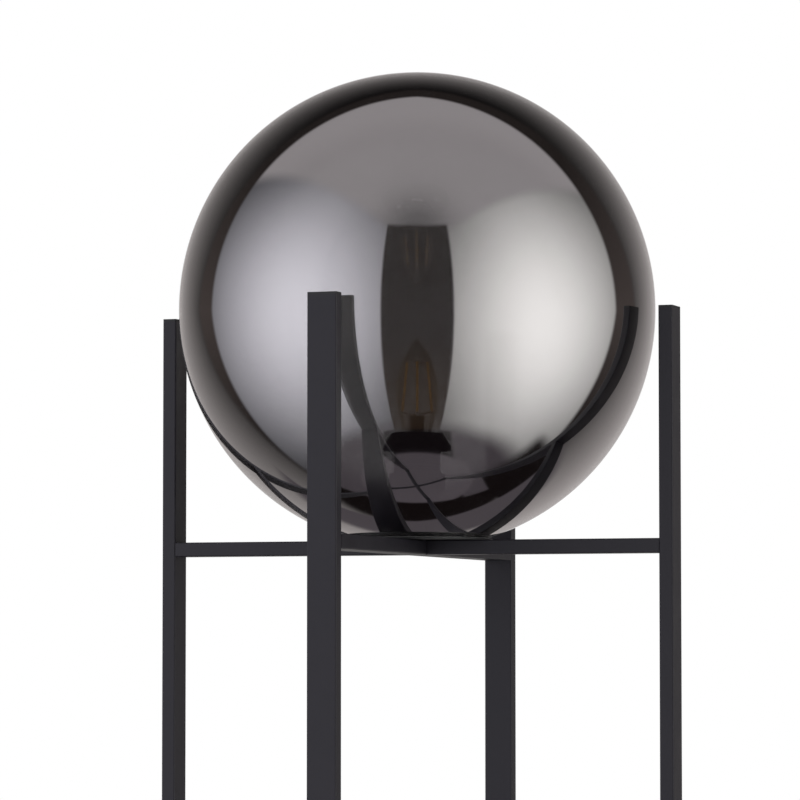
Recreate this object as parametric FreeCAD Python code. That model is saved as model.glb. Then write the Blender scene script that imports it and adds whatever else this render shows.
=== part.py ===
import FreeCAD, Part
import math
import os

from FreeCAD import Vector

os.makedirs("parts", exist_ok=True)

# Globe floor lamp. A half-mirrored glass globe stands on the crossing of two flat bars, between
# four straight legs of rectangular steel tube. A second crossing ties the legs near the floor.
# Millimetres, +Z up, origin on the floor under the globe's axis.
# The front leg stands at -Y, the right leg at +X, the rear leg at +Y and the left leg at -X.

# Globe: blown glass, the edge of its bottom hole ground flat
globe_diameter = 400.0
globe_wall = 3.0
globe_centre_height = 1300.0
globe_hole_diameter = 117.0
globe_ground_land = 1.5

# Legs and bars: rectangular steel tube
leg_width = 25.0
leg_depth = 12.0
leg_gap = 14.0
leg_top_drop = 2.0
bar_width = 25.0
bar_height = 12.0
tube_wall = 1.5
tube_corner = 1.2
lower_bar_height = 100.0
wire_hole_margin = 0.5

# Plastic plugs in the leg ends
top_plug_thickness = 2.0
top_plug_depth = 14.0
foot_height = 5.0
foot_depth = 16.0
foot_chamfer = 1.0
plug_clearance = 0.1

# Rubber grommet where the cord leaves the rear leg
cord_exit_height = 40.0
cord_hole_diameter = 7.0
grommet_body_diameter = 12.0
grommet_flange_diameter = 16.0
grommet_outer_lip = 0.8
grommet_inner_lip = 1.2

# Seat of the globe on the crossing
seat_thickness = 1.2
seat_overhang = 3.0
seat_collar_height = 5.0
seat_collar_clearance = 0.75
gasket_thickness = 1.0
gasket_clearance = 0.25
gasket_overhang = 2.0

# Threaded tube through the crossing, with its nuts
thread_diameter = 10.0
thread_bore = 8.0
thread_clearance = 0.05
weld_nut_diameter = 16.0
wire_gap = 3.0
washer_diameter = 20.0
washer_thickness = 1.0
nut_across_flats = 14.0
nut_height = 4.0
spacer_diameter = 13.0
spacer_length = 11.8

# Screws that hold the seat to the crossbar
screw_diameter = 4.0
screw_length = 6.0
screw_head_diameter = 8.0
screw_head_height = 2.6
screw_radius_position = 35.0
screw_clearance = 0.05
lock_washer_diameter = 8.5
lock_washer_thickness = 0.8

# Lamp holder: a cap on the threaded tube, a shell screwed into it and a ring around the shell
holder_height = 72.0
collar_diameter = 16.0
collar_height = 8.0
boss_height = 12.0
cap_shoulder_diameter = 28.0
cap_diameter = 47.0
cap_cone_height = 16.0
cap_height = 34.0
cap_wall = 2.0
shell_thread_depth = 8.0
shell_thread_clearance = 0.1
shell_skirt_height = 4.0
shell_diameter = 39.6
shell_lower_wall = 4.0
shell_rib_depth = 0.8
shell_rib_pitch = 2.5
mouth_diameter = 30.0
mouth_depth = 8.0
socket_diameter = 26.5
socket_length = 20.0
socket_groove_depth = 0.85
socket_thread_inset = 1.0
set_screw_diameter = 3.0

# Ring screwed on the holder's shell
ring_top_diameter = 42.8
ring_diameter = 57.0
ring_height = 14.5
ring_edge_height = 3.5
ring_wall = 1.5
ring_thread_height = 5.5
ring_clearance = 0.1

# Contacts inside the holder
block_height = 14.0
block_clearance = 0.2
block_recess_diameter = 29.0
block_recess_depth = 6.0
strip_thickness = 0.5
strip_width = 6.0
strip_rise = 1.3
contact_gap = 0.2
side_contact_gap = 0.3
side_contact_height = 16.0
slot_clearance = 1.0
terminal_position = 9.0
terminal_diameter = 3.0
terminal_head_diameter = 5.6
terminal_head_height = 2.3

# Bulb: screw cap with a 27 mm thread, clear candle-shaped glass, four filaments
bulb_thread_diameter = 26.2
bulb_thread_depth = 0.9
bulb_thread_pitch = 3.63
bulb_tip_diameter = 9.6
bulb_tip_height = 2.0
insulator_height = 5.0
insulator_bottom_diameter = 14.0
insulator_top_diameter = 22.4
bulb_cap_height = 20.0
bulb_cap_skirt = 4.0
bulb_cap_bore = 23.0
bulb_cap_lip_diameter = 17.0
bulb_cap_lip_thickness = 0.6
driver_width = 16.0
driver_thickness = 1.6
driver_height = 13.0
bulb_diameter = 35.0
bulb_glass_length = 88.6
bulb_glass_wall = 0.8
bulb_neck_clearance = 0.1
bulb_neck_insert = 3.0
bulb_turn = 19.5
stem_flare_height = 1.0
stem_diameter = 7.0
stem_cone_height = 8.5
press_width = 12.0
press_thickness = 5.0
press_height = 13.0
filament_diameter = 2.2
filament_glass_gap = 3.1
filament_lean = 4.0
filament_tip_gap = 21.1
filament_lift = 4.0
support_wire_diameter = 0.8
support_clearance = 0.15

# Worked out from the sizes above
globe_radius = globe_diameter / 2
globe_hole_radius = globe_hole_diameter / 2
globe_land_radius = globe_hole_radius + globe_ground_land
globe_rim_drop = math.sqrt(globe_radius**2 - globe_land_radius**2)
globe_rim_height = globe_centre_height - globe_rim_drop
leg_inner_radius = globe_radius + leg_gap
leg_axis_radius = leg_inner_radius + leg_depth / 2
leg_outer_radius = leg_inner_radius + leg_depth
leg_top = globe_centre_height - leg_top_drop
seat_top = globe_rim_height - gasket_thickness
bar_top = seat_top - seat_thickness
bar_middle = bar_top - bar_height / 2
lower_bar_middle = lower_bar_height + bar_height / 2
bar_inside_height = bar_height - 2 * tube_wall
wire_hole_radius = bar_inside_height / 2 - wire_hole_margin
collar_radius = globe_hole_radius - seat_collar_clearance
thread_radius = thread_diameter / 2
thread_hole_radius = thread_radius + thread_clearance
weld_nut_height = bar_inside_height - wire_gap
thread_bottom = bar_top - tube_wall - weld_nut_height
washer_top = seat_top + washer_thickness
nut_top = washer_top + nut_height
holder_bottom = nut_top + spacer_length
cap_radius = cap_diameter / 2
cap_inside_radius = cap_radius - cap_wall
shell_bottom = cap_height - shell_thread_depth
shell_thread_radius = cap_inside_radius - shell_thread_clearance
shell_inside_radius = shell_thread_radius - shell_lower_wall + shell_thread_clearance
shell_radius = shell_diameter / 2
socket_radius = socket_diameter / 2
socket_top = holder_height - mouth_depth
socket_bottom = socket_top - socket_length
block_radius = shell_inside_radius - block_clearance
block_bottom = socket_bottom - block_height
block_floor = socket_bottom - block_recess_depth
side_contact_radius = bulb_thread_diameter / 2 + side_contact_gap
bulb_bottom = holder_bottom + block_floor + strip_thickness + strip_rise + contact_gap
insulator_top = bulb_tip_height + insulator_height
bulb_cap_top = insulator_top + bulb_cap_height
glass_bottom = bulb_cap_top - bulb_neck_insert
bulb_neck_radius = bulb_cap_bore / 2 - bulb_neck_clearance
press_bottom = glass_bottom + stem_flare_height + stem_cone_height
press_top = press_bottom + press_height
filament_bottom = press_top + filament_lift
filament_rise = glass_bottom + bulb_glass_length - filament_tip_gap - filament_bottom
filament_foot_radius = (bulb_diameter - filament_diameter) / 2 - bulb_glass_wall - filament_glass_gap
filament_top_radius = filament_foot_radius - filament_lean

leg_turns = {"front": 0, "right": 90, "rear": 180, "left": 270}


def save(name, shape):
    shape.exportStep(f"parts/{name}.step")


def turned(outline, height=0.0):
    """A solid turned about the lamp's axis from (radius, height) points."""
    points = [Vector(radius, 0, level + height) for radius, level in outline]
    face = Part.Face(Part.makePolygon(points + points[:1]))
    return face.revolve(Vector(0, 0, 0), Vector(0, 0, 1), 360)


def ring(inner_radius, outer_radius, thickness, height):
    """A flat ring or a sleeve around the lamp's axis."""
    outer = Part.makeCylinder(outer_radius, thickness, Vector(0, 0, height))
    return outer.cut(Part.makeCylinder(inner_radius, thickness, Vector(0, 0, height)))


def ribs(outer_radius, inner_radius, start, end, pitch):
    """Outline points of a row of ribs from start to end, as a screw thread shows in section."""
    count = int(abs(end - start) / pitch)
    step = math.copysign(pitch, end - start)
    points = []
    for turn in range(count):
        points.append((outer_radius, start + turn * step))
        points.append((inner_radius, start + (turn + 0.5) * step))
    points.append((outer_radius, start + count * step))
    return points


def quarter_turned(shape, degrees):
    """The shape turned about the lamp's axis, from the front to one of the other sides."""
    copy = shape.copy()
    copy.rotate(Vector(0, 0, 0), Vector(0, 0, 1), degrees)
    return copy


def rounded_rectangle(width, depth, corner):
    """A flat face with rounded corners, centred on the origin."""
    x, y = width / 2, depth / 2
    bend = corner * (1 - math.sqrt(0.5))
    edges = []
    for sign_x, sign_y in ((1, 1), (-1, 1), (-1, -1), (1, -1)):
        along_x = Vector(sign_x * (x - corner), sign_y * y, 0)
        along_y = Vector(sign_x * x, sign_y * (y - corner), 0)
        middle = Vector(sign_x * (x - bend), sign_y * (y - bend), 0)
        start, end = (along_y, along_x) if sign_x * sign_y > 0 else (along_x, along_y)
        if edges:
            edges.append(Part.LineSegment(last_point, start).toShape())
        else:
            first_point = start
        edges.append(Part.Arc(start, middle, end).toShape())
        last_point = end
    edges.append(Part.LineSegment(last_point, first_point).toShape())
    return Part.Face(Part.Wire(edges))


def rectangular_tube(width, depth, length):
    """A tube of the frame's wall, standing on the origin."""
    outer = rounded_rectangle(width, depth, tube_corner).extrude(Vector(0, 0, length))
    bore_width = width - 2 * tube_wall
    bore_depth = depth - 2 * tube_wall
    bore = Part.makeBox(bore_width, bore_depth, length, Vector(-bore_width / 2, -bore_depth / 2, 0))
    return outer.cut(bore)


def bar(start, end, middle_height, degrees):
    """A flat bar from one distance behind the axis to another, turned to its direction."""
    tube = rectangular_tube(bar_width, bar_height, end - start)
    tube.rotate(Vector(0, 0, 0), Vector(1, 0, 0), -90)
    tube.translate(Vector(0, start, middle_height))
    return quarter_turned(tube, degrees)


def hole(radius, length, position, direction):
    return Part.makeCylinder(radius, length, position, direction)


def strip(outline):
    """A bent contact strip, from an outline in the XZ plane."""
    points = [Vector(x, -strip_width / 2, z) for x, z in outline]
    face = Part.Face(Part.makePolygon(points + points[:1]))
    return face.extrude(Vector(0, strip_width, 0))


# Legs, with a wire hole and the grommet's hole in the rear one
leg_length = leg_top - top_plug_thickness - foot_height
for side, degrees in leg_turns.items():
    leg = rectangular_tube(leg_width, leg_depth, leg_length)
    leg.translate(Vector(0, -leg_axis_radius, foot_height))
    if side == "rear":
        leg = leg.cut(hole(wire_hole_radius, leg_depth / 2, Vector(0, -leg_axis_radius, bar_middle),
                           Vector(0, 1, 0)))
        leg = leg.cut(hole(grommet_body_diameter / 2 + thread_clearance, leg_depth / 2,
                           Vector(0, -leg_axis_radius, cord_exit_height), Vector(0, -1, 0)))
    save(f"leg_{side}", quarter_turned(leg, degrees))

# Plugs in the leg ends: a plate as large as the tube and a plug inside it
plug_width = leg_width - 2 * tube_wall - 2 * plug_clearance
plug_size = leg_depth - 2 * tube_wall - 2 * plug_clearance
for side, degrees in leg_turns.items():
    plate = rounded_rectangle(leg_width, leg_depth, tube_corner)
    top = plate.extrude(Vector(0, 0, top_plug_thickness))
    top = top.fuse(Part.makeBox(plug_width, plug_size, top_plug_depth,
                                Vector(-plug_width / 2, -plug_size / 2, -top_plug_depth)))
    top.translate(Vector(0, -leg_axis_radius, leg_top - top_plug_thickness))
    save(f"top_plug_{side}", quarter_turned(top, degrees))

    pad = plate.extrude(Vector(0, 0, foot_height))
    bottom_edges = [edge for edge in pad.Edges if edge.BoundBox.ZMax < foot_height / 2]
    pad = pad.makeChamfer(foot_chamfer, bottom_edges)
    foot = pad.fuse(Part.makeBox(plug_width, plug_size, foot_depth,
                                 Vector(-plug_width / 2, -plug_size / 2, foot_height)))
    foot.translate(Vector(0, -leg_axis_radius, 0))
    save(f"foot_{side}", quarter_turned(foot, degrees))

# Upper crossing: one whole bar from left to right and two arms welded to its sides
crossbar = bar(-leg_inner_radius, leg_inner_radius, bar_middle, 90)
top_wall = Vector(0, 0, bar_top - tube_wall)
crossbar = crossbar.cut(hole(thread_hole_radius, tube_wall, top_wall, Vector(0, 0, 1)))
screw_hole_radius = screw_diameter / 2 + screw_clearance
for side in (-1, 1):
    place = Vector(side * screw_radius_position, 0, bar_top - tube_wall)
    crossbar = crossbar.cut(hole(screw_hole_radius, tube_wall, place, Vector(0, 0, 1)))
crossbar = crossbar.cut(hole(wire_hole_radius, bar_width / 2, Vector(0, 0, bar_middle),
                             Vector(0, 1, 0)))
save("upper_crossbar", crossbar)
save("upper_arm_front", bar(-leg_inner_radius, -bar_width / 2, bar_middle, 0))
save("upper_arm_rear", bar(-leg_inner_radius, -bar_width / 2, bar_middle, 180))

# Lower crossing, made the same way
save("lower_crossbar", bar(-leg_inner_radius, leg_inner_radius, lower_bar_middle, 90))
save("lower_arm_front", bar(-leg_inner_radius, -bar_width / 2, lower_bar_middle, 0))
save("lower_arm_rear", bar(-leg_inner_radius, -bar_width / 2, lower_bar_middle, 180))

# Rubber grommet in the rear leg's outer wall
body_radius = grommet_body_diameter / 2
flange_radius = grommet_flange_diameter / 2
cord_radius = cord_hole_diameter / 2
grommet = turned([
    (cord_radius, -tube_wall - grommet_inner_lip),
    (flange_radius, -tube_wall - grommet_inner_lip),
    (flange_radius, -tube_wall),
    (body_radius, -tube_wall),
    (body_radius, 0),
    (flange_radius, 0),
    (flange_radius, grommet_outer_lip),
    (cord_radius, grommet_outer_lip),
])
grommet.rotate(Vector(0, 0, 0), Vector(1, 0, 0), -90)
grommet.translate(Vector(0, leg_outer_radius, cord_exit_height))
save("cord_grommet", grommet)

# Seat: a pressed disc on the crossing with a collar that centres the globe
seat = turned([
    (thread_hole_radius, 0),
    (globe_land_radius + seat_overhang, 0),
    (globe_land_radius + seat_overhang, seat_thickness),
    (collar_radius, seat_thickness),
    (collar_radius, seat_collar_height),
    (collar_radius - seat_thickness, seat_collar_height),
    (collar_radius - seat_thickness, seat_thickness),
    (thread_hole_radius, seat_thickness),
], bar_top)
for side in (-1, 1):
    place = Vector(side * screw_radius_position, 0, bar_top)
    seat = seat.cut(hole(screw_hole_radius, seat_thickness, place, Vector(0, 0, 1)))
save("globe_seat", seat)
save("globe_gasket", ring(collar_radius + gasket_clearance, globe_land_radius + gasket_overhang,
                          gasket_thickness, seat_top))

# Threaded tube, the nut welded inside the crossbar, and washer, nut and spacer above the seat
save("weld_nut", ring(thread_hole_radius, weld_nut_diameter / 2, weld_nut_height, thread_bottom))
save("threaded_tube", ring(thread_bore / 2, thread_radius,
                           holder_bottom + boss_height - thread_bottom, thread_bottom))
save("seat_washer", ring(thread_hole_radius, washer_diameter / 2, washer_thickness, seat_top))
nut_corner_radius = nut_across_flats / 2 / math.cos(math.radians(30))
nut_corners = [Vector(nut_corner_radius * math.cos(math.radians(60 * corner)),
                      nut_corner_radius * math.sin(math.radians(60 * corner)), washer_top)
               for corner in range(7)]
nut = Part.Face(Part.makePolygon(nut_corners)).extrude(Vector(0, 0, nut_height))
save("seat_nut", nut.cut(Part.makeCylinder(thread_hole_radius, nut_height, Vector(0, 0, washer_top))))
save("spacer_sleeve", ring(thread_hole_radius, spacer_diameter / 2, spacer_length, nut_top))

# Two screws through the seat into the crossbar; one of them is the earth screw
def seat_screw(side, head_height):
    place = Vector(side * screw_radius_position, 0, head_height)
    head = Part.makeCylinder(screw_head_diameter / 2, screw_head_height, place)
    shank = Part.makeCylinder(screw_diameter / 2, screw_length, place, Vector(0, 0, -1))
    return head.fuse(shank)


save("seat_screw", seat_screw(-1, seat_top))
save("earth_screw", seat_screw(1, seat_top + lock_washer_thickness))
lock_washer = ring(screw_hole_radius, lock_washer_diameter / 2, lock_washer_thickness, seat_top)
lock_washer.translate(Vector(screw_radius_position, 0, 0))
save("earth_washer", lock_washer)

# Holder cap: a threaded collar, a cone and a wide mouth for the shell
cone_top = collar_height + cap_cone_height
cap_shoulder_radius = cap_shoulder_diameter / 2
cap_floor = collar_height + cap_wall
holder_cap = turned([
    (thread_hole_radius, 0),
    (collar_diameter / 2, 0),
    (collar_diameter / 2, collar_height),
    (cap_shoulder_radius, collar_height),
    (cap_radius, cone_top),
    (cap_radius, cap_height),
    (cap_inside_radius, cap_height),
    (cap_inside_radius, cone_top + cap_wall / 2),
    (cap_shoulder_radius - cap_wall / 2, cap_floor),
    (collar_diameter / 2, cap_floor),
    (collar_diameter / 2, boss_height),
    (thread_hole_radius, boss_height),
], holder_bottom)
set_screw_place = Vector(0, -thread_hole_radius, holder_bottom + collar_height / 2)
set_screw_length = collar_diameter / 2 - thread_hole_radius
set_screw_hole = hole(set_screw_diameter / 2 + screw_clearance, set_screw_length,
                      set_screw_place, Vector(0, -1, 0))
save("holder_cap", holder_cap.cut(set_screw_hole))
save("holder_set_screw", Part.makeCylinder(set_screw_diameter / 2, set_screw_length,
                                           set_screw_place, Vector(0, -1, 0)))

# Holder shell: screwed into the cap, ribbed outside for the ring and inside for the bulb
skirt_top = cap_height + shell_skirt_height
rib_start = skirt_top + shell_rib_pitch
shell_outside = ribs(shell_radius, shell_radius - shell_rib_depth, rib_start,
                     holder_height - ring_height, shell_rib_pitch)
socket_inside = ribs(socket_radius, socket_radius + socket_groove_depth,
                     socket_top - socket_thread_inset, socket_bottom + socket_thread_inset,
                     bulb_thread_pitch)
holder_shell = turned([
    (shell_thread_radius, shell_bottom),
    (shell_thread_radius, cap_height),
    (cap_radius, cap_height),
    (cap_radius, skirt_top),
    (shell_radius, skirt_top),
] + shell_outside + [
    (shell_radius, holder_height),
    (mouth_diameter / 2, holder_height),
    (mouth_diameter / 2, socket_top),
    (socket_radius, socket_top),
] + socket_inside + [
    (socket_radius, socket_bottom),
    (shell_inside_radius, socket_bottom),
    (shell_inside_radius, shell_bottom),
], holder_bottom)
slot_depth = side_contact_radius + strip_thickness + slot_clearance
slot_width = strip_width + 2 * slot_clearance
slot_height = side_contact_height - block_recess_depth + slot_clearance
slot = Part.makeBox(slot_depth, slot_width, slot_height,
                    Vector(0, -slot_width / 2, holder_bottom + socket_bottom))
save("holder_shell", holder_shell.cut(slot))

# Ring around the top of the shell, narrow above and wide below
ring_bottom = holder_height - ring_height
ring_bore = shell_radius + ring_clearance
save("shade_ring", turned([
    (ring_bore, holder_height),
    (ring_top_diameter / 2, holder_height),
    (ring_diameter / 2, ring_bottom + ring_edge_height),
    (ring_diameter / 2, ring_bottom),
    (ring_diameter / 2 - ring_wall, ring_bottom),
    (ring_diameter / 2 - ring_wall, ring_bottom + ring_edge_height - ring_wall / 2),
    (ring_bore + ring_wall, holder_height - ring_thread_height),
    (ring_bore, holder_height - ring_thread_height),
], holder_bottom))

# Contact block with a recess, the two contacts in it and their terminal screws
terminal_radius = terminal_diameter / 2
recess_radius = block_recess_diameter / 2
block = turned([
    (0, block_bottom),
    (block_radius, block_bottom),
    (block_radius, socket_bottom),
    (recess_radius, socket_bottom),
    (recess_radius, block_floor),
    (0, block_floor),
], holder_bottom)
strip_bottom = holder_bottom + block_floor
strip_top = strip_bottom + strip_thickness
foot_start = terminal_position - strip_width / 2
foot_end = terminal_position + strip_width / 2
centre_strip = strip([
    (-foot_end, strip_bottom),
    (-foot_start, strip_bottom),
    (-bulb_tip_diameter / 4, strip_bottom + strip_rise),
    (bulb_tip_diameter / 4, strip_bottom + strip_rise),
    (bulb_tip_diameter / 4, strip_top + strip_rise),
    (-bulb_tip_diameter / 4, strip_top + strip_rise),
    (-foot_start, strip_top),
    (-foot_end, strip_top),
])
side_strip = strip([
    (foot_start, strip_bottom),
    (side_contact_radius + strip_thickness, strip_bottom),
    (side_contact_radius + strip_thickness, strip_bottom + side_contact_height),
    (side_contact_radius, strip_bottom + side_contact_height),
    (side_contact_radius, strip_top),
    (foot_start, strip_top),
])
terminal_screws = []
for side in (-1, 1):
    place = Vector(side * terminal_position, 0, holder_bottom + block_bottom)
    shank_length = strip_top - place.z
    shank_hole = hole(terminal_radius + screw_clearance, shank_length, place, Vector(0, 0, 1))
    block = block.cut(shank_hole)
    centre_strip = centre_strip.cut(shank_hole)
    side_strip = side_strip.cut(shank_hole)
    shank = Part.makeCylinder(terminal_radius, shank_length, place)
    head = Part.makeCylinder(terminal_head_diameter / 2, terminal_head_height, place, Vector(0, 0, -1))
    terminal_screws.append(head.fuse(shank))
save("contact_block", block)
save("centre_contact", centre_strip)
save("side_contact", side_strip)
save("terminal_screws", Part.makeCompound(terminal_screws))

# Bulb cap: tip contact, insulator and threaded shell, with the driver board inside
save("bulb_tip_contact", turned([
    (0, 0),
    (bulb_tip_diameter / 2, 0),
    (bulb_tip_diameter / 2, bulb_tip_height),
    (0, bulb_tip_height),
], bulb_bottom))
save("bulb_insulator", turned([
    (0, bulb_tip_height),
    (insulator_bottom_diameter / 2, bulb_tip_height),
    (insulator_top_diameter / 2, insulator_top),
    (0, insulator_top),
], bulb_bottom))
bulb_thread_radius = bulb_thread_diameter / 2
bulb_root_radius = bulb_thread_radius - bulb_thread_depth
bulb_ribs = ribs(bulb_root_radius, bulb_thread_radius, insulator_top,
                 bulb_cap_top - bulb_cap_skirt, bulb_thread_pitch)
save("bulb_cap", turned([
    (bulb_cap_lip_diameter / 2, insulator_top),
] + bulb_ribs + [
    (bulb_root_radius, bulb_cap_top),
    (bulb_cap_bore / 2, bulb_cap_top),
    (bulb_cap_bore / 2, insulator_top + bulb_cap_lip_thickness),
    (bulb_cap_lip_diameter / 2, insulator_top + bulb_cap_lip_thickness),
], bulb_bottom))
driver = Part.makeBox(driver_width, driver_thickness, driver_height,
                      Vector(-driver_width / 2, -driver_thickness / 2, bulb_bottom + insulator_top))
save("bulb_driver", quarter_turned(driver, bulb_turn))


# Bulb glass: a candle shape through a few points, (share of length, share of belly radius)
belly_points = ((0.08, 0.67), (0.25, 0.88), (0.45, 1.0), (0.65, 0.9), (0.82, 0.58), (0.94, 0.2))


def glass_edge(wall):
    """One side of the glass in section, from the neck to the tip, set in by the wall."""
    start = bulb_bottom + glass_bottom
    points = [Vector(bulb_neck_radius - wall, 0, start)]
    for along, across in belly_points:
        height = start + along * (bulb_glass_length - wall)
        points.append(Vector(across * bulb_diameter / 2 - wall * (1 - along * 0.6), 0, height))
    points.append(Vector(0, 0, start + bulb_glass_length - wall))
    curve = Part.BSplineCurve()
    curve.interpolate(points)
    return curve.toShape(), points[0], points[-1]


outside, outside_neck, outside_tip = glass_edge(0)
inside, inside_neck, inside_tip = glass_edge(bulb_glass_wall)
glass_face = Part.Face(Part.Wire(Part.sortEdges([
    outside,
    Part.LineSegment(outside_tip, inside_tip).toShape(),
    inside,
    Part.LineSegment(inside_neck, outside_neck).toShape(),
])[0]))
save("bulb_glass", glass_face.revolve(Vector(0, 0, 0), Vector(0, 0, 1), 360))

# Glass stem: a flare that closes the neck, and a flat press that holds the wires
flare_radius = bulb_neck_radius - bulb_glass_wall - bulb_neck_clearance
stem = turned([
    (0, glass_bottom),
    (flare_radius, glass_bottom),
    (flare_radius, glass_bottom + stem_flare_height),
    (stem_diameter / 2, press_bottom),
    (0, press_bottom),
], bulb_bottom)
press = Part.makeBox(press_width, press_thickness, press_height,
                     Vector(-press_width / 2, -press_thickness / 2, bulb_bottom + press_bottom))
save("bulb_stem", stem.fuse(quarter_turned(press, bulb_turn)))

# Four filaments around the stem, closer together at the top, and the wires that hold them
wire_radius = support_wire_diameter / 2
foot_level = bulb_bottom + filament_bottom
top_level = foot_level + filament_rise
cross_level = top_level + wire_radius + support_clearance
mast_bottom = bulb_bottom + press_top
filaments = []
foot_wires = []
top_wires = [Part.makeCylinder(wire_radius, cross_level - mast_bottom, Vector(0, 0, mast_bottom))]
for corner in range(4):
    angle = 90 * corner + bulb_turn
    foot_point = Vector(filament_foot_radius, 0, foot_level)
    top_point = Vector(filament_top_radius, 0, top_level)
    stick = top_point - foot_point
    filament = Part.makeCylinder(filament_diameter / 2, stick.Length, foot_point, stick)
    filaments.append(quarter_turned(filament, angle))
    wire_start = Vector(press_thickness / 2 - wire_radius, 0, mast_bottom + wire_radius + support_clearance)
    wire_end = Vector(filament_foot_radius, 0, foot_level - wire_radius - support_clearance)
    wire = Part.makeCylinder(wire_radius, (wire_end - wire_start).Length, wire_start,
                             wire_end - wire_start)
    foot_wires.append(quarter_turned(wire, angle))
    arm = Part.makeCylinder(wire_radius, filament_top_radius, Vector(0, 0, cross_level), Vector(1, 0, 0))
    top_wires.append(quarter_turned(arm, angle))
top_support = top_wires[0].multiFuse(top_wires[1:])
save("filaments", Part.makeCompound(filaments))
save("filament_supports", Part.makeCompound([top_support] + foot_wires))

# Globe: a sphere's shell with the hole cut at the bottom
inner_radius = globe_radius - globe_wall
centre = globe_centre_height
hole_drop = math.sqrt(inner_radius**2 - globe_hole_radius**2)
outer_top = Vector(0, 0, centre + globe_radius)
inner_top = Vector(0, 0, centre + inner_radius)
inner_end = Vector(globe_hole_radius, 0, centre - hole_drop)
hole_edge = Vector(globe_hole_radius, 0, globe_rim_height)
land_edge = Vector(globe_land_radius, 0, globe_rim_height)
globe_face = Part.Face(Part.Wire([
    Part.Arc(land_edge, Vector(globe_radius, 0, centre), outer_top).toShape(),
    Part.LineSegment(outer_top, inner_top).toShape(),
    Part.Arc(inner_top, Vector(inner_radius, 0, centre), inner_end).toShape(),
    Part.LineSegment(inner_end, hole_edge).toShape(),
    Part.LineSegment(hole_edge, land_edge).toShape(),
]))
save("globe", globe_face.revolve(Vector(0, 0, 0), Vector(0, 0, 1), 360))
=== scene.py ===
import math

import bpy
from mathutils import Euler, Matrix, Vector


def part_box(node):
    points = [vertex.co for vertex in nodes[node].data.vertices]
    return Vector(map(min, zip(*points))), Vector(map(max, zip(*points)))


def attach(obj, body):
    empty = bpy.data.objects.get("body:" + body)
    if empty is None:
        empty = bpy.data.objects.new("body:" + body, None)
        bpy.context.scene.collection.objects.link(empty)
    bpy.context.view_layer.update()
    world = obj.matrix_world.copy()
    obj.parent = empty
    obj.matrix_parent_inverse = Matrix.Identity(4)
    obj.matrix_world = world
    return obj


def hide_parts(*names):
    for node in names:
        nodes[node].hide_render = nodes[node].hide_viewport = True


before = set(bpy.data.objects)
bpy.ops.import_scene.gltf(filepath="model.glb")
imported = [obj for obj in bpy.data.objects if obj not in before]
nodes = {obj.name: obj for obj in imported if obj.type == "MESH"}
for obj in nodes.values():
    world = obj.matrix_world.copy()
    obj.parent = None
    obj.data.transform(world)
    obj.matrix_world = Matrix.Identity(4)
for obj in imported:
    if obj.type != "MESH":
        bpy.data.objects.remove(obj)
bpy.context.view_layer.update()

# ---------------------------------------------------------------------------
# Legs and crossings
# Four legs and two crossings of 25 x 12 mm steel tube, welded and powder coated as one piece in
# satin black. The coat has a very fine orange peel and is a little glossier in some places.
# ---------------------------------------------------------------------------


def put(tree, kind, inputs=(), **settings):
    """Adds a node, sets its options and fills or links its sockets, given by name or number."""
    new = tree.nodes.new(kind)
    for name, value in settings.items():
        setattr(new, name, value)
    for socket, value in dict(inputs).items():
        if isinstance(value, bpy.types.NodeSocket):
            tree.links.new(value, new.inputs[socket])
        else:
            new.inputs[socket].default_value = value
    return new


def blend(tree, amount, first, second):
    """Goes from the first colour to the second. 6, 7 and 2 are the Mix node's colour sockets."""
    mixed = put(tree, "ShaderNodeMix", {"Factor": amount, 6: first, 7: second}, data_type="RGBA")
    return mixed.outputs[2]


def effect_group(name, inputs, outputs):
    """An empty shader node group with its sockets, and the nodes at its two ends."""
    tree = bpy.data.node_groups.new(name, "ShaderNodeTree")
    for socket, kind, value in inputs:
        made = tree.interface.new_socket(socket, in_out="INPUT", socket_type="NodeSocket" + kind)
        made.default_value = value
    for socket, kind in outputs:
        tree.interface.new_socket(socket, in_out="OUTPUT", socket_type="NodeSocket" + kind)
    return tree, tree.nodes.new("NodeGroupInput"), tree.nodes.new("NodeGroupOutput")


# Fine grain: small bumps, with slow changes of tone and gloss over the piece
clouds_per_metre = 38.0
cloud_range = {"From Min": 0.3, "From Max": 0.7}
grain, grain_in, grain_out = effect_group(
    "fine_grain",
    [("Size", "Float", 0.001), ("Depth", "Float", 0.00002), ("Dark", "Color", (0, 0, 0, 1)),
     ("Light", "Color", (1, 1, 1, 1)), ("Smoothest", "Float", 0.3), ("Roughest", "Float", 0.5)],
    [("Color", "Color"), ("Roughness", "Float"), ("Normal", "Vector")])
place = put(grain, "ShaderNodeTexCoord").outputs["Object"]
bumps_per_metre = put(grain, "ShaderNodeMath", {0: 1.0, 1: grain_in.outputs["Size"]},
                      operation="DIVIDE")
bumps = put(grain, "ShaderNodeTexNoise",
            {"Vector": place, "Scale": bumps_per_metre.outputs[0], "Detail": 2.0})
clouds = put(grain, "ShaderNodeTexNoise",
             {"Vector": place, "Scale": clouds_per_metre, "Detail": 4.0, "Roughness": 0.6})
tone = put(grain, "ShaderNodeMapRange", {"Value": clouds.outputs["Fac"], **cloud_range})
colour = blend(grain, tone.outputs[0], grain_in.outputs["Dark"], grain_in.outputs["Light"])
gloss = put(grain, "ShaderNodeMapRange",
            {"Value": clouds.outputs["Fac"], **cloud_range,
             "To Min": grain_in.outputs["Smoothest"], "To Max": grain_in.outputs["Roughest"]})
relief = put(grain, "ShaderNodeBump", {"Height": bumps.outputs["Fac"], "Strength": 1.0,
                                       "Distance": grain_in.outputs["Depth"]})
grain.links.new(colour, grain_out.inputs["Color"])
grain.links.new(gloss.outputs[0], grain_out.inputs["Roughness"])
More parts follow.
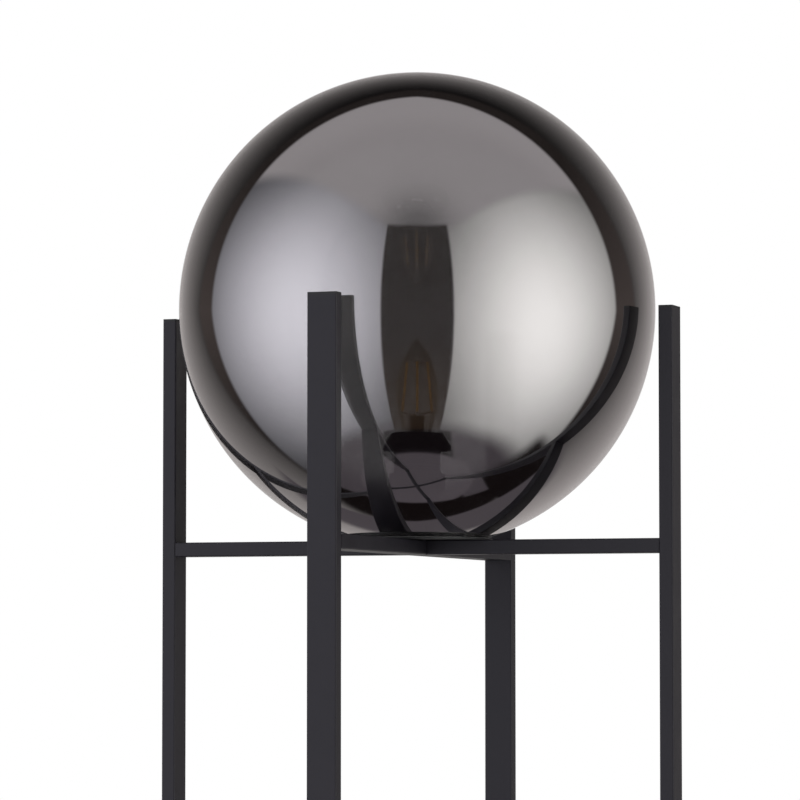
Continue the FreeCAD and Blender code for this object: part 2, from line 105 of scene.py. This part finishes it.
grain.links.new(relief.outputs[0], grain_out.inputs["Normal"])


def new_material(name):
    """A material, its node tree and its shader."""
    material = bpy.data.materials.new(name)
    material.use_nodes = True
    return material, material.node_tree, material.node_tree.nodes["Principled BSDF"]


def grained(name, dark, light, roughness, size=0.001, depth=0.00002, **shader_values):
    """A material with the fine grain; further values go on the shader's own sockets."""
    material, tree, shader = new_material(name)
    smoothest, roughest = roughness
    group = put(tree, "ShaderNodeGroup", node_tree=grain)
    for socket, value in (("Size", size), ("Depth", depth), ("Dark", (*dark, 1)),
                          ("Light", (*light, 1)), ("Smoothest", smoothest),
                          ("Roughest", roughest)):
        group.inputs[socket].default_value = value
    tree.links.new(group.outputs["Color"], shader.inputs["Base Color"])
    tree.links.new(group.outputs["Roughness"], shader.inputs["Roughness"])
    tree.links.new(group.outputs["Normal"], shader.inputs["Normal"])
    for socket, value in shader_values.items():
        shader.inputs[socket.replace("_", " ")].default_value = value
    return material


def coat(material, *names):
    """Gives CAD nodes a material in place of their plain one."""
    for name in names:
        nodes[name].data.materials.clear()
        nodes[name].data.materials.append(material)


coat(grained("black_powder_coat", dark=(0.0128, 0.0114, 0.0163), light=(0.0178, 0.016, 0.0217),
             roughness=(0.4, 0.5), size=0.0011, depth=0.00003, Specular_IOR_Level=0.4),
     "leg_front", "leg_right", "leg_rear", "leg_left",
     "upper_crossbar", "upper_arm_front", "upper_arm_rear",
     "lower_crossbar", "lower_arm_front", "lower_arm_rear")

# ---------------------------------------------------------------------------
# Globe
# One sphere of blown glass with a ground hole at the bottom, coated inside with a thin half-mirror
# layer of metal: it reflects the room and lets a dim brownish view of the bulb through.
# ---------------------------------------------------------------------------
globe_low, globe_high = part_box("globe")
globe_radius = (globe_high.x - globe_low.x) / 2
globe_centre = Vector((0, 0, globe_high.z - globe_radius))
globe_wall = 0.003
cube_side_cuts = 71


def deselect():
    if bpy.context.object and bpy.context.object.mode != "OBJECT":
        bpy.ops.object.mode_set(mode="OBJECT")
    bpy.ops.object.select_all(action="DESELECT")


def give_wall(piece, thickness):
    """Makes a shell into blown glass, which grows inwards from the outer face."""
    wall = piece.modifiers.new("wall", "SOLIDIFY")
    wall.thickness = thickness
    wall.offset = -1
    bpy.ops.object.modifier_apply(modifier="wall")


def finish(piece, name, body, material, replaced, sharp):
    """Names the piece, puts its place in its mesh, smooths it and lets it ride on its body."""
    piece.name = piece.data.name = name
    bpy.ops.object.transform_apply(location=True, rotation=True, scale=True)
    bpy.ops.object.shade_smooth_by_angle(angle=math.radians(sharp))
    piece.data.materials.clear()
    piece.data.materials.append(material)
    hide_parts(replaced)
    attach(piece, body)


mirror_glass, tree, shader = new_material("half_mirror_glass")
place = put(tree, "ShaderNodeTexCoord").outputs["Object"]
waves = put(tree, "ShaderNodeTexNoise", {"Vector": place, "Scale": 9.0, "Detail": 1.0})
relief = put(tree, "ShaderNodeBump",
             {"Height": waves.outputs["Fac"], "Strength": 1.0, "Distance": 0.0002})
haze = put(tree, "ShaderNodeMapRange",
           {"Value": waves.outputs["Fac"], "To Min": 0.01, "To Max": 0.03})
smoke = blend(tree, waves.outputs["Fac"], (0.66, 0.64, 0.645, 1), (0.7, 0.68, 0.685, 1))
tree.links.new(smoke, shader.inputs["Base Color"])
tree.links.new(haze.outputs[0], shader.inputs["Roughness"])
tree.links.new(relief.outputs[0], shader.inputs["Normal"])
shader.inputs["Metallic"].default_value = 1.0
# The coat lets least through where it is seen at a slant, towards the globe's outline
slant = put(tree, "ShaderNodeLayerWeight", {"Blend": 0.5})
cover = put(tree, "ShaderNodeMapRange",
            {"Value": slant.outputs["Facing"], "From Min": 0.25, "From Max": 0.46,
             "To Min": 0.64, "To Max": 0.88}, interpolation_type="SMOOTHSTEP")
tree.links.new(cover.outputs[0], shader.inputs["Alpha"])

deselect()
bpy.ops.mesh.primitive_cube_add(size=2 * globe_radius, location=globe_centre)
globe = bpy.context.object
bpy.ops.object.mode_set(mode="EDIT")
bpy.ops.mesh.subdivide(number_cuts=cube_side_cuts)
bpy.ops.object.mode_set(mode="OBJECT")
cast = globe.modifiers.new("round", "CAST")
cast.factor = 1.0
cast.use_radius_as_size = False
cast.radius = 0.0
cast.size = globe_radius
bpy.ops.object.modifier_apply(modifier="round")
bpy.ops.object.mode_set(mode="EDIT")
bpy.ops.mesh.select_all(action="SELECT")
bpy.ops.mesh.bisect(plane_co=(0, 0, globe_low.z), plane_no=(0, 0, 1), clear_inner=True)
bpy.ops.object.mode_set(mode="OBJECT")
give_wall(globe, globe_wall)
finish(globe, "globe_glass", "globe", mirror_glass, "globe", sharp=40)

# ---------------------------------------------------------------------------
# Bulb
# A clear blown candle glass, spun from its outline, over a pressed glass stem, four filament sticks
# coated in amber phosphor and their bare wires. The cap is nickel-plated sheet with a soldered tip.
# ---------------------------------------------------------------------------
clear_glass = grained("clear_bulb_glass", dark=(0.8, 0.7, 0.56), light=(0.88, 0.79, 0.66),
                      roughness=(0.02, 0.06), size=0.02, depth=0.00005)
# Thin glass shows most where the view grazes it
tree = clear_glass.node_tree
edge_on = put(tree, "ShaderNodeLayerWeight", {"Blend": 0.35})
thickness = put(tree, "ShaderNodeMapRange",
                {"Value": edge_on.outputs["Facing"], "To Min": 0.05, "To Max": 0.6})
tree.links.new(thickness.outputs[0], tree.nodes["Principled BSDF"].inputs["Alpha"])

bulb_glass_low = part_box("bulb_glass")[0]
bulb_glass_wall = 0.0008
# Its outline from the neck to the tip: distance from the axis and height over the neck, in mm
glass_outline = ((11.4, 0), (11.5, 5.8), (12.4, 11.5), (13.9, 17.2), (15.5, 22.8), (16.6, 28.6),
                 (17.2, 34.4), (17.4, 40.2), (17.3, 46.0), (16.7, 51.9), (15.7, 57.6),
                 (14.1, 63.2), (12.0, 68.7), (9.4, 73.9), (6.4, 78.9), (3.2, 83.7), (0, 88.5))
spin_steps = 64
merge_distance = 0.00002
deselect()
bpy.ops.mesh.primitive_plane_add(size=0.001, location=(0, 0, 0))
bulb = bpy.context.object
bpy.ops.object.mode_set(mode="EDIT")
bpy.ops.mesh.select_all(action="SELECT")
bpy.ops.mesh.merge(type="CENTER")
bpy.ops.transform.translate(value=(glass_outline[0][0] / 1000, 0, bulb_glass_low.z))
for (here_out, here_up), (next_out, next_up) in zip(glass_outline, glass_outline[1:]):
    step = ((next_out - here_out) / 1000, 0, (next_up - here_up) / 1000)
    bpy.ops.mesh.extrude_region_move(TRANSFORM_OT_translate={"value": step})
bpy.ops.mesh.select_all(action="SELECT")
bpy.ops.mesh.spin(steps=spin_steps, angle=math.tau, center=(0, 0, bulb_glass_low.z),
                  axis=(0, 0, 1))
bpy.ops.mesh.select_all(action="SELECT")
bpy.ops.mesh.remove_doubles(threshold=merge_distance)
bpy.ops.mesh.normals_make_consistent(inside=False)
bpy.ops.object.mode_set(mode="OBJECT")
give_wall(bulb, bulb_glass_wall)
finish(bulb, "bulb_glass_blown", "bulb", clear_glass, "bulb_glass", sharp=50)

coat(clear_glass, "bulb_stem")
# The bulb is not lit: the filaments' weak amber emission is a painted glow that brightens their
# tone
coat(grained("amber_phosphor_painted_glow", dark=(0.62, 0.34, 0.07), light=(0.8, 0.48, 0.12),
             roughness=(0.6, 0.75), size=0.0004, depth=0.00004,
             Emission_Color=(1.0, 0.6, 0.25, 1), Emission_Strength=0.15),
     "filaments")
coat(grained("bare_wire", dark=(0.4, 0.38, 0.37), light=(0.5, 0.48, 0.46),
             roughness=(0.3, 0.45), size=0.0005, Metallic=1.0),
     "filament_supports")
coat(grained("nickel_sheet", dark=(0.66, 0.66, 0.63), light=(0.76, 0.76, 0.73),
             roughness=(0.16, 0.3), size=0.0009, depth=0.00001, Metallic=1.0),
     "bulb_cap")
coat(grained("dull_solder", dark=(0.45, 0.45, 0.46), light=(0.6, 0.6, 0.61),
             roughness=(0.4, 0.6), size=0.0012, depth=0.00008, Metallic=1.0),
     "bulb_tip_contact")
coat(grained("fused_insulator", dark=(0.015, 0.015, 0.02), light=(0.03, 0.03, 0.036),
             roughness=(0.08, 0.2), size=0.002),
     "bulb_insulator")
coat(grained("driver_board", dark=(0.03, 0.15, 0.055), light=(0.06, 0.23, 0.09),
             roughness=(0.3, 0.5), size=0.0008),
     "bulb_driver")

# ---------------------------------------------------------------------------
# Lamp holder
# Cap, shell and ring moulded in black thermoset with a slight sheen; inside them a porcelain block
# with sheet brass contacts and brass terminal screws.
# ---------------------------------------------------------------------------
coat(grained("black_thermoset", dark=(0.004, 0.0035, 0.0048), light=(0.0065, 0.0058, 0.0072),
             roughness=(0.38, 0.52), size=0.0007, depth=0.00001, Specular_IOR_Level=0.35),
     "holder_cap", "holder_shell", "shade_ring")
coat(grained("porcelain", dark=(0.72, 0.71, 0.68), light=(0.82, 0.81, 0.78),
             roughness=(0.45, 0.6), size=0.0012, depth=0.00003),
     "contact_block")
coat(grained("rolled_brass", dark=(0.7, 0.5, 0.22), light=(0.8, 0.6, 0.3),
             roughness=(0.2, 0.36), size=0.0006, depth=0.00001, Metallic=1.0),
     "centre_contact", "side_contact", "terminal_screws")

# ---------------------------------------------------------------------------
# Seat and fastenings
# A pressed steel seat in satin black carries the globe on a gasket of clear silicone, through which
# the black seat shows. The threaded tube, nuts, washers, sleeve and screws are zinc plated.
# ---------------------------------------------------------------------------
coat(grained("satin_black_paint", dark=(0.010, 0.010, 0.0115), light=(0.016, 0.016, 0.018),
             roughness=(0.42, 0.55), size=0.0015),
     "globe_seat")
coat(grained("clear_silicone", dark=(0.5, 0.5, 0.5), light=(0.62, 0.62, 0.61),
             roughness=(0.5, 0.65), size=0.001, Alpha=0.1),
     "globe_gasket")
coat(grained("zinc_plate", dark=(0.52, 0.53, 0.56), light=(0.64, 0.65, 0.67),
             roughness=(0.25, 0.42), size=0.0009, depth=0.00001, Metallic=1.0),
     "weld_nut", "threaded_tube", "seat_nut", "seat_washer", "spacer_sleeve",
     "seat_screw", "earth_screw", "earth_washer", "holder_set_screw")

# ---------------------------------------------------------------------------
# Plugs, feet and grommet
# Moulded black polyethylene plugs close the tops of the legs, and feet of the same close their
# bottoms, both with a fine matt grain. The cord grommet in the rear leg is matt black rubber.
# ---------------------------------------------------------------------------
coat(grained("moulded_plug_plastic", dark=(0.014, 0.014, 0.0155), light=(0.021, 0.021, 0.023),
             roughness=(0.5, 0.64), size=0.0005, depth=0.00003),
     "top_plug_front", "top_plug_right", "top_plug_rear", "top_plug_left")
coat(grained("moulded_foot_plastic", dark=(0.012, 0.012, 0.012), light=(0.019, 0.019, 0.019),
             roughness=(0.55, 0.7), size=0.0005, depth=0.00004),
     "foot_front", "foot_right", "foot_rear", "foot_left")
coat(grained("grommet_rubber", dark=(0.014, 0.014, 0.014), light=(0.022, 0.022, 0.022),
             roughness=(0.7, 0.85), size=0.0008, depth=0.00004),
     "cord_grommet")

# ---------------------------------------------------------------------------
# Floor, light and camera
# A plain pale floor in a white surround, lit evenly and by two soft lamps. Mirror rays see a
# photographer's studio instead: a grey ceiling, two large soft panels with a dark opening between
# them, and a floor that ends at a pale backdrop.
# ---------------------------------------------------------------------------
floor_radius = 18
deselect()
bpy.ops.mesh.primitive_circle_add(vertices=96, radius=floor_radius, fill_type="NGON",
                                  location=(0, 0, 0))
floor = bpy.context.object
floor.name = "studio_floor"
floor.data.materials.append(grained("floor_paint", dark=(0.86, 0.86, 0.86), light=(0.9, 0.9, 0.9),
                                    roughness=(0.7, 0.8), size=0.01, depth=0.0001))
floor.visible_glossy = False

# The camera stands this far from the globe's axis and this much below its centre, in metres
view_azimuth = math.radians(19.5)
camera_distance = 3.6
camera_below_centre = 0.292
globe_to_camera = Vector((math.sin(view_azimuth) * camera_distance,
                          -math.cos(view_azimuth) * camera_distance, -camera_below_centre))

world = bpy.data.worlds.new("studio")
bpy.context.scene.world = world
world.use_nodes = True
room = world.node_tree
background = room.nodes["Background"]
direction = put(room, "ShaderNodeTexCoord").outputs["Generated"]


def along(axis):
    """How far a direction points along an axis of the view: right, up or to the camera."""
    return put(room, "ShaderNodeVectorMath", {0: direction, 1: axis},
               operation="DOT_PRODUCT").outputs["Value"]


def calc(operation, a, b=0.0, c=0.0):
    return put(room, "ShaderNodeMath", {0: a, 1: b, 2: c}, operation=operation).outputs[0]


def both(a, b):
    return calc("MULTIPLY", a, b)


def minus(value):
    return calc("MULTIPLY", value, -1.0)


right_axis = Vector((math.cos(view_azimuth), math.sin(view_azimuth), 0))
camera_axis = globe_to_camera.normalized()
up_axis = camera_axis.cross(right_axis)
to_right, to_up, to_camera = along(right_axis), along(up_axis), along(camera_axis)
turn = calc("ARCTAN2", to_right, to_camera)
rise = calc("ARCSINE", to_up)
drop = minus(rise)
off_camera = calc("ARCCOSINE", to_camera)
upwards, rightwards = calc("MAXIMUM", to_up, 0.0), calc("MAXIMUM", to_right, 0.0)
into_corner = calc("ABSOLUTE", calc("MULTIPLY", to_right, to_up))


def soft_step(value, edge, softness):
    """0 below the edge and 1 above it, with a soft change between."""
    return put(room, "ShaderNodeMapRange",
               {"Value": value, "From Min": edge - softness, "From Max": edge + softness},
               interpolation_type="SMOOTHSTEP").outputs[0]


def beyond(value, degrees, softness):
    """The same for an angle, with its edge in degrees."""
    return soft_step(value, math.radians(degrees), math.radians(softness))


def past(edge, softness):
    """1 further off the camera's axis than an edge that changes with the direction."""
    return soft_step(calc("SUBTRACT", off_camera, edge), 0.0, math.radians(softness))


def uneven_edge(start, *changes):
    """An angle off the camera's axis: a start and what parts of the direction add, in degrees."""
    edge = math.radians(start)
    for value, degrees in changes:
        edge = calc("MULTIPLY_ADD", value, math.radians(degrees), edge)
    return edge


def near_side(right, up, camera):
    """How far a direction lies on the near side of a panel's slanting upper edge."""
    return calc("MULTIPLY_ADD", to_right, right,
                calc("MULTIPLY_ADD", to_up, up, calc("MULTIPLY", to_camera, camera)))


def glow(turn_middle, rise_middle, width, height):
    """Brightest in one direction, given in degrees, and fading all round it."""
    sideways = calc("DIVIDE", calc("SUBTRACT", turn, math.radians(turn_middle)),
                    math.radians(width))
    upward = calc("DIVIDE", calc("SUBTRACT", rise, math.radians(rise_middle)),
                  math.radians(height))
    return calc("EXPONENT", calc("MULTIPLY_ADD", sideways, minus(sideways),
                                 minus(calc("MULTIPLY", upward, upward))))


def lit(colour, amount):
    return put(room, "ShaderNodeVectorMath", {0: colour, "Scale": amount},
               operation="SCALE").outputs[0]


# The panels, and the opening between them, with angles in degrees
opening_half_width, opening_softness = 17.3, 0.8
in_middle = beyond(minus(calc("ABSOLUTE", turn)), -opening_half_width, opening_softness)
near_middle = soft_step(minus(calc("ABSOLUTE", to_right)), -0.235, 0.012)
opening = both(in_middle, beyond(drop, -41, 1.2))
above_opening = calc("MULTIPLY_ADD", glow(0, 40, 24, 16), -0.66, 1.0)
left_panel = both(soft_step(near_side(-0.687, -0.596, 0.302), 0.0, 0.05),
                  beyond(minus(turn), opening_half_width, opening_softness))
right_panel = both(soft_step(near_side(0.629, -0.630, 0.336), 0.01, 0.045),
                   beyond(turn, opening_half_width, opening_softness))

# The dark gap behind the panels starts nearer at the right and in the corners than at the top
gap = past(uneven_edge(116, (to_up, 4), (upwards, 6.5), (rightwards, -6), (into_corner, -14)), 1.5)
gap_level = calc("MAXIMUM", calc("MULTIPLY_ADD", calc("ABSOLUTE", to_up), -1.1, 1.0), 0.3)

# The backdrop past the gap gets brighter away from it, and is darker at the top and the left
backdrop_edge = uneven_edge(129, (to_up, 14), (upwards, -9), (into_corner, -24))
backdrop = past(backdrop_edge, 2)
brighter_outwards = put(room, "ShaderNodeMapRange",
                        {"Value": calc("SUBTRACT", off_camera, backdrop_edge),
                         "From Max": math.radians(33), "To Min": 0.085, "To Max": 0.5}).outputs[0]
backdrop_level = both(
    both(calc("MAXIMUM", calc("MULTIPLY_ADD", upwards, -1.25, 1.0), 0.03),
         calc("MULTIPLY_ADD", calc("MINIMUM", to_right, 0.0), 0.3, 1.0)),
    brighter_outwards)

# The pale floor ends in a dark strip, and beyond the strip there is more of it
strip = both(beyond(drop, 56, 3), beyond(off_camera, 105, 1))
strip_at_right = both(soft_step(to_right, 0.36, 0.01),
                      both(beyond(drop, 45, 3), beyond(off_camera, 93, 4)))
far_floor = both(past(uneven_edge(121.5, (rightwards, -17)), 1), beyond(drop, 40, 3))

white = (1, 1, 1, 1)
opening_black = (0.006, 0.002, 0.001, 1)
strip_black = (0.008, 0.006, 0.006, 1)
studio = lit((0.38, 0.362, 0.368), above_opening)
for colour, mask in (
        (lit((1.09, 1.09, 1.18), glow(-60, 0, 47, 50)), left_panel),
        (lit((1.46, 1.46, 1.42), glow(63, -5, 46, 53)), right_panel),
        (opening_black, opening),
        ((0.078, 0.068, 0.077, 1), beyond(drop, 56, 5.5)),  # floor below the panels
        (opening_black, both(in_middle, beyond(drop, 48, 1))),
        ((0.03, 0.02, 0.014, 1), both(in_middle, beyond(drop, 25, 20))),  # warmer lower down
        ((0.008, 0.006, 0.007, 1), both(near_middle, beyond(drop, 58.1, 0.7))),
        ((0.105, 0.092, 0.103, 1), beyond(drop, 71.2, 1)),  # floor straight below
        (lit((0.075, 0.062, 0.058), gap_level), gap),
        (lit((1.0, 0.94, 0.92), backdrop_level), backdrop),
        (strip_black, strip),
        (strip_black, strip_at_right),
        ((0.095, 0.084, 0.093, 1), far_floor),
        (white, beyond(off_camera, 171, 5))):
    studio = blend(room, mask, studio, colour)

# Diffuse rays see a plain grey, stronger from the left, and the camera sees white
rays = put(room, "ShaderNodeLightPath")
more_from_left = calc("MULTIPLY_ADD", to_right, -0.35, 1.0)
plain = blend(room, rays.outputs["Is Glossy Ray"], lit((0.75, 0.75, 0.75), more_from_left), studio)
seen = calc("MAXIMUM", rays.outputs["Is Camera Ray"], rays.outputs["Is Transmission Ray"])
room.links.new(blend(room, seen, plain, white), background.inputs["Color"])
background.inputs["Strength"].default_value = 1.0


def soft_lamp(name, position, size, power):
    """A round soft lamp that points at the globe and isn't seen itself."""
    light = bpy.data.lights.new(name, "AREA")
    light.shape = "DISK"
    light.size = size
    light.energy = power
    lamp = bpy.data.objects.new(name, light)
    lamp.location = position
    lamp.rotation_euler = (globe_centre - Vector(position)).to_track_quat("-Z", "Y").to_euler()
    lamp.visible_camera = False
    lamp.visible_glossy = False
    bpy.context.scene.collection.objects.link(lamp)


soft_lamp("key_light", position=(-3.2, -2.6, 3.4), size=2.0, power=70)
soft_lamp("fill_light", position=(3.0, -2.0, 2.6), size=2.4, power=12)

# It looks up a little, and slightly left of the globe's axis
camera_tilt = math.radians(90 + 3.448)
camera_turn = 0.0040
camera_data = bpy.data.cameras.new("camera")
camera_data.lens = 193.5
camera_data.sensor_width = 36
camera_data.clip_end = 200
camera = bpy.data.objects.new("camera", camera_data)
camera.location = globe_centre + globe_to_camera
camera.rotation_euler = Euler((camera_tilt, 0, view_azimuth + camera_turn))
bpy.context.scene.collection.objects.link(camera)
bpy.context.scene.camera = camera
bpy.context.scene.view_settings.view_transform = "Standard"
